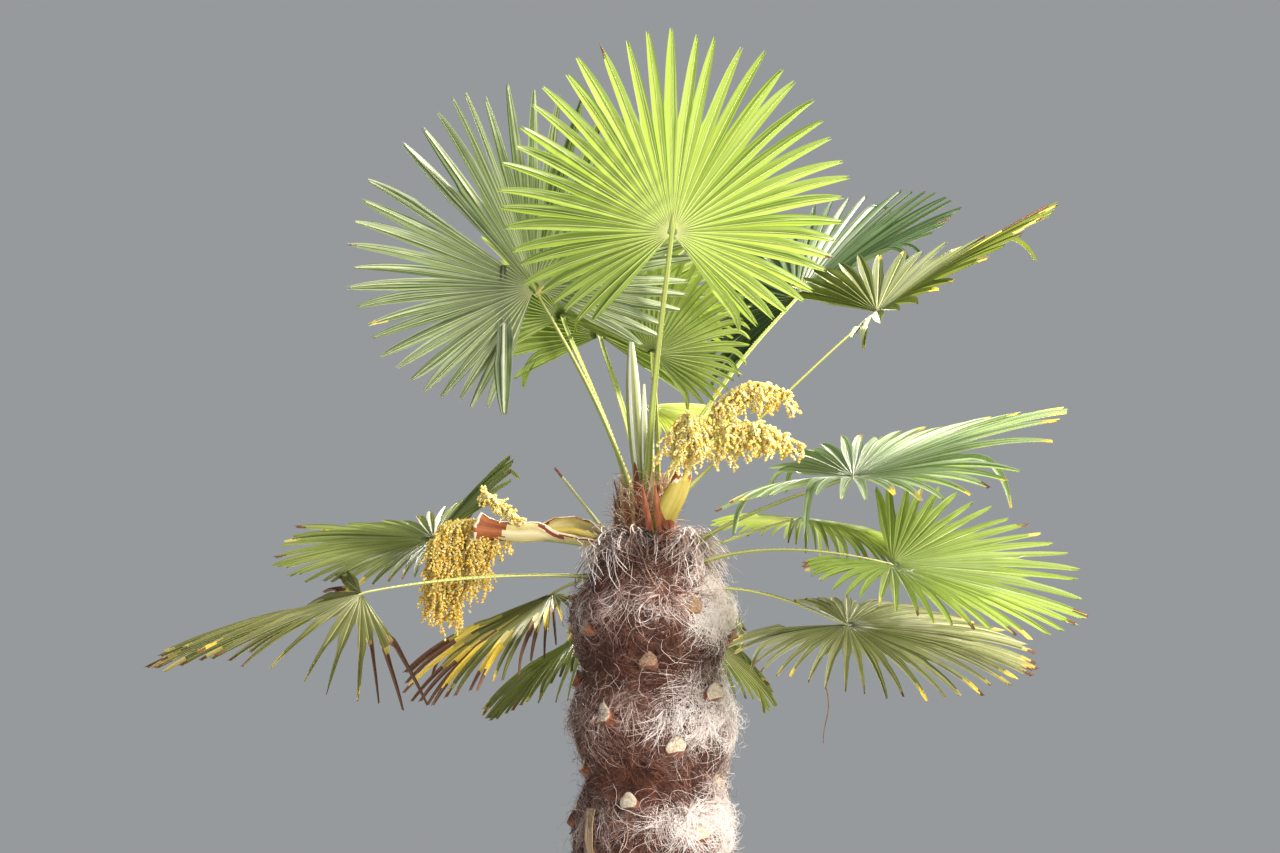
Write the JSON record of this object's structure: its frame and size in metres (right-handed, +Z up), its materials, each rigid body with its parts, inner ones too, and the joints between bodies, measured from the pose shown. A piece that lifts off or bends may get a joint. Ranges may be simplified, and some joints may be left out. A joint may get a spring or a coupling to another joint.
{
  "type": "windmill palm",
  "caption": "Fan palm with a thick trunk clad in cut leaf bases and curly fibre, a crown of pleated fan fronds on thin stalks, an unopened spear leaf and drooping yellow flower heads",
  "frame": {"origin": "Centre of the flat cut under the trunk, at ground level", "axes": "+Z up along the trunk; the pictured side of the crown looks along -Y, with +X to its right"},
  "size_m": [2.1421, 1.595, 3.0474],
  "materials": {
    "fibre": "matte matted fibre",
    "heart_fibre": "matte fibre",
    "leaf_stalk": "satin green stalk",
    "leaf": "satin leathery leaf",
    "flower_sheath": "satin papery sheath",
    "flowers": "matte small flowers",
    "dry_stalk": "matte dry stalk"
  },
  "bodies": {
    "root": {"trunk": "fibre", "crown_heart": "heart_fibre", "petiole_upper_right": "leaf_stalk", "blade_upper_right": "leaf", "petiole_upper_left": "leaf_stalk", "blade_upper_left": "leaf", "petiole_young_left": "leaf_stalk", "blade_young_left": "leaf", "petiole_young_centre": "leaf_stalk", "blade_young_centre": "leaf", "petiole_young_right": "leaf_stalk", "blade_young_right": "leaf", "petiole_far_high": "leaf_stalk", "blade_far_high": "leaf", "petiole_right_high": "leaf_stalk", "blade_right_high": "leaf", "petiole_right_middle": "leaf_stalk", "blade_right_middle": "leaf", "petiole_right_near": "leaf_stalk", "blade_right_near": "leaf", "petiole_right_inner": "leaf_stalk", "blade_right_inner": "leaf", "petiole_right_low": "leaf_stalk", "blade_right_low": "leaf", "petiole_left_low": "leaf_stalk", "blade_left_low": "leaf", "petiole_left_back": "leaf_stalk", "blade_left_back": "leaf", "petiole_left_drooping": "leaf_stalk", "blade_left_drooping": "leaf", "petiole_behind_left": "leaf_stalk", "blade_behind_left": "leaf", "petiole_behind_right": "leaf_stalk", "blade_behind_right": "leaf", "petiole_behind_flowers": "leaf_stalk", "blade_behind_flowers": "leaf", "petiole_behind_high": "leaf_stalk", "blade_behind_high": "leaf", "petiole_behind_hanging": "leaf_stalk", "blade_behind_hanging": "leaf", "unopened_leaf": "leaf", "cut_stalk": "dry_stalk", "flower_sheath_left": "flower_sheath", "flowers_left": "flowers", "flower_spike_left": "flowers", "flower_sheath_right": "flower_sheath", "flower_stalk_right": "flower_sheath", "flowers_right_near": "flowers", "flowers_right_upper": "flowers", "flowers_right_outer": "flowers"}
  },
  "joints": []
}
